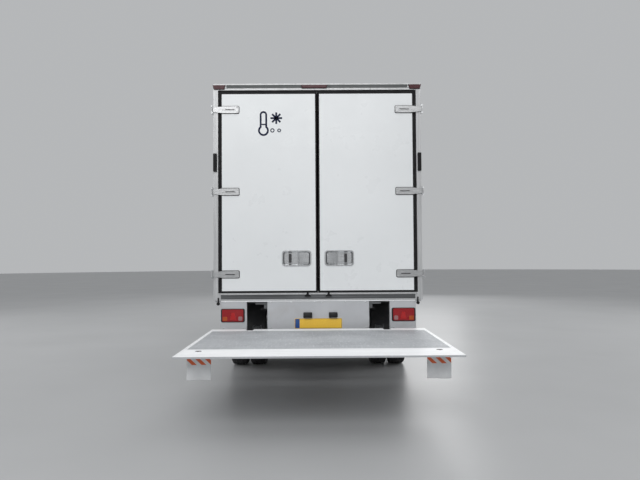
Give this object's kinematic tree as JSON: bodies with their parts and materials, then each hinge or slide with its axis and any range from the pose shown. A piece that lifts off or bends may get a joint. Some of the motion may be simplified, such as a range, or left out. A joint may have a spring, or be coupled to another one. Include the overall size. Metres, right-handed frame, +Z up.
{
  "type": "refrigerated truck",
  "caption": "Two-axle cab-over truck with an insulated box, a refrigeration unit over the cab, twin rear doors and a lowered cantilever tail lift.",
  "frame": {"origin": "on the ground under the middle of the whole outline, from the platform's tip to the bumper", "axes": "+X to the right as seen from behind, +Y forward, +Z up"},
  "size_m": [2.59, 8.383, 3.305],
  "materials": {
    "chassis_paint": "satin dark grey chassis paint",
    "galvanised": "galvanised steel",
    "floor_deck": "ribbed aluminium floor",
    "panel_white": "gloss white skin",
    "anodised": "anodised aluminium",
    "frame_silver": "satin stainless frame",
    "black_rubber": "matt black rubber",
    "stainless": "brushed stainless steel",
    "red_lens": "red lens",
    "apron_grey": "silver grey paint",
    "plate_yellow": "blank yellow plate with a plain blue band",
    "lamp_housing": "black housing with red, amber and clear lenses",
    "unit_white": "white moulded housing",
    "engine_grey": "cast grey",
    "tyre_rubber": "black tyre rubber",
    "rim_silver": "silver painted steel wheel",
    "spring_steel": "black painted spring steel",
    "tank_alloy": "mill finish aluminium tank",
    "black_plastic": "grained black plastic",
    "exhaust_steel": "aluminised steel",
    "guard_alloy": "extruded aluminium",
    "lift_paint": "dark grey paint",
    "deck_alloy": "ribbed aluminium deck",
    "flag_cloth": "coated warning flags",
    "rod_chrome": "chromed rod",
    "door_white": "gloss white skin",
    "cab_white": "gloss white cab paint",
    "window_glass": "tinted window glass",
    "seat_cloth": "woven dark grey seat cloth",
    "dash_plastic": "grained dark plastic",
    "bumper_plastic": "grained dark grey plastic",
    "lamp_glass": "clear lamp lens"
  },
  "bodies": {
    "chassis": {"chassis_frame": "chassis_paint", "box_subframe": "galvanised", "box_floor": "floor_deck", "box_sides": "panel_white", "box_front_wall": "panel_white", "box_roof": "panel_white", "edge_profiles": "anodised", "rear_frame": "frame_silver", "rubber_buffers": "black_rubber", "marker_lamps": "red_lens", "rear_apron": "apron_grey", "number_plate": "plate_yellow", "rear_lamps": "lamp_housing", "refrigeration_unit": "unit_white", "engine_block": "engine_grey", "rear_axle": "chassis_paint", "front_axle_beam": "chassis_paint", "leaf_springs": "spring_steel", "fuel_tank": "tank_alloy", "battery_and_air_tank": "black_plastic", "exhaust_silencer": "exhaust_steel", "mudguards": "black_plastic", "side_guards": "guard_alloy", "tail_lift_frame": "lift_paint", "frame_hardware": "stainless", "headlamps": "lamp_glass", "bumper_and_steps": "bumper_plastic"},
    "cab": {"cab_shell": "cab_white", "windscreen": "window_glass", "cab_seats": "seat_cloth", "dashboard": "dash_plastic", "mirrors": "black_plastic"},
    "cab_door_right": {"cab_door_right": "cab_white", "door_glass_right": "window_glass"},
    "cab_door_left": {"cab_door_left": "cab_white", "door_glass_left": "window_glass"},
    "knuckle_right": {"knuckle_right": "chassis_paint"},
    "knuckle_left": {"knuckle_left": "chassis_paint"},
    "wheel_front_right": {"tyre_front_right": "tyre_rubber", "rim_front_right": "rim_silver"},
    "wheel_front_left": {"tyre_front_left": "tyre_rubber", "rim_front_left": "rim_silver"},
    "wheels_rear_right": {"tyres_rear_right": "tyre_rubber", "rims_rear_right": "rim_silver"},
    "wheels_rear_left": {"tyres_rear_left": "tyre_rubber", "rims_rear_left": "rim_silver"},
    "rear_door_right": {"rear_door_right": "door_white", "door_seal_right": "black_rubber", "door_fittings_right": "stainless"},
    "rear_door_left": {"rear_door_left": "door_white", "door_seal_left": "black_rubber", "door_fittings_left": "stainless"},
    "lift_arms": {"lift_arms": "lift_paint"},
    "platform_pins": {"platform_pins": "stainless"},
    "platform": {"platform": "deck_alloy", "platform_flags": "flag_cloth"},
    "tilt_barrels": {"tilt_barrels": "lift_paint"},
    "tilt_rods": {"tilt_rods": "rod_chrome"},
    "lift_barrels": {"lift_barrels": "lift_paint"},
    "lift_rods": {"lift_rods": "rod_chrome"}
  },
  "joints": [
    {"name": "cab_tilt", "type": "hinge", "parent": "chassis", "child": "cab", "pos_m": [0, 4.0365, 0.79], "axis": [1, 0, 0], "range_deg": [-45, 0]},
    {"name": "cab_door_right_swing", "type": "hinge", "parent": "cab", "child": "cab_door_right", "pos_m": [1.087, 3.9795, 1.5], "axis": [0, 0, 1], "range_deg": [0, 70]},
    {"name": "cab_door_left_swing", "type": "hinge", "parent": "cab", "child": "cab_door_left", "pos_m": [-1.087, 3.9795, 1.5], "axis": [0, 0, -1], "range_deg": [0, 70]},
    {"name": "steer_left", "type": "hinge", "parent": "chassis", "child": "knuckle_left", "pos_m": [-0.77, 2.9115, 0.3835], "axis": [0, 0, 1], "range_deg": [-35, 35]},
    {"name": "steer_right", "type": "hinge", "parent": "chassis", "child": "knuckle_right", "pos_m": [0.77, 2.9115, 0.3835], "axis": [0, 0, 1], "range_deg": [-35, 35]},
    {"name": "spin_front_left", "type": "hinge", "parent": "knuckle_left", "child": "wheel_front_left", "pos_m": [-0.925, 2.9115, 0.3835], "axis": [1, 0, 0], "continuous": true},
    {"name": "spin_front_right", "type": "hinge", "parent": "knuckle_right", "child": "wheel_front_right", "pos_m": [0.925, 2.9115, 0.3835], "axis": [1, 0, 0], "continuous": true},
    {"name": "spin_rear_left", "type": "hinge", "parent": "chassis", "child": "wheels_rear_left", "pos_m": [-0.8795, -0.9885, 0.3835], "axis": [1, 0, 0], "continuous": true},
    {"name": "spin_rear_right", "type": "hinge", "parent": "chassis", "child": "wheels_rear_right", "pos_m": [0.8795, -0.9885, 0.3835], "axis": [1, 0, 0], "continuous": true},
    {"name": "rear_door_right_swing", "type": "hinge", "parent": "chassis", "child": "rear_door_right", "pos_m": [1.162, -2.2585, 2], "axis": [0, 0, 1], "range_deg": [0, 270]},
    {"name": "rear_door_left_swing", "type": "hinge", "parent": "chassis", "child": "rear_door_left", "pos_m": [-1.162, -2.2585, 2], "axis": [0, 0, -1], "range_deg": [0, 270]},
    {"name": "lift", "type": "hinge", "parent": "chassis", "child": "lift_arms", "pos_m": [0, -1.6525, 0.52], "axis": [1, 0, 0], "range_deg": [-29.9, 33.2]},
    {"name": "platform_level", "type": "hinge", "parent": "lift_arms", "child": "platform_pins", "pos_m": [0, -2.4515, 0.562], "axis": [1, 0, 0], "range_deg": [-33.3, 30]},
    {"name": "platform_tilt", "type": "hinge", "parent": "platform_pins", "child": "platform", "pos_m": [0, -2.4515, 0.562], "axis": [1, 0, 0], "range_deg": [-90, 4.5]},
    {"name": "tilt_barrel_turn", "type": "hinge", "parent": "chassis", "child": "tilt_barrels", "pos_m": [0, -1.6025, 0.428], "axis": [1, 0, 0], "range_deg": [-30, 33.3]},
    {"name": "tilt_rod_slide", "type": "slide", "parent": "tilt_barrels", "child": "tilt_rods", "axis": [0, -0.9986, 0.0525], "range_m": [-0.0077, 0.1451]},
    {"name": "lift_barrel_turn", "type": "hinge", "parent": "chassis", "child": "lift_barrels", "pos_m": [0, -1.5925, 0.37], "axis": [1, 0, 0], "range_deg": [-25.51, 28.32]},
    {"name": "lift_rod_slide", "type": "slide", "parent": "lift_barrels", "child": "lift_rods", "axis": [0, -0.9975, 0.0712], "range_m": [-0.0831, 0.0749]}
  ],
  "couplings": [
    {"joint": "steer_right", "follows": "steer_left", "ratio": 1},
    {"joint": "platform_level", "follows": "lift", "ratio": -1},
    {"joint": "tilt_barrel_turn", "follows": "lift", "ratio": 1},
    {"joint": "tilt_rod_slide", "follows": "platform_tilt", "m_per_rad": -0.09208},
    {"joint": "lift_barrel_turn", "follows": "lift", "ratio": 0.8499},
    {"joint": "lift_rod_slide", "follows": "lift", "m_per_rad": -0.14256}
  ]
}
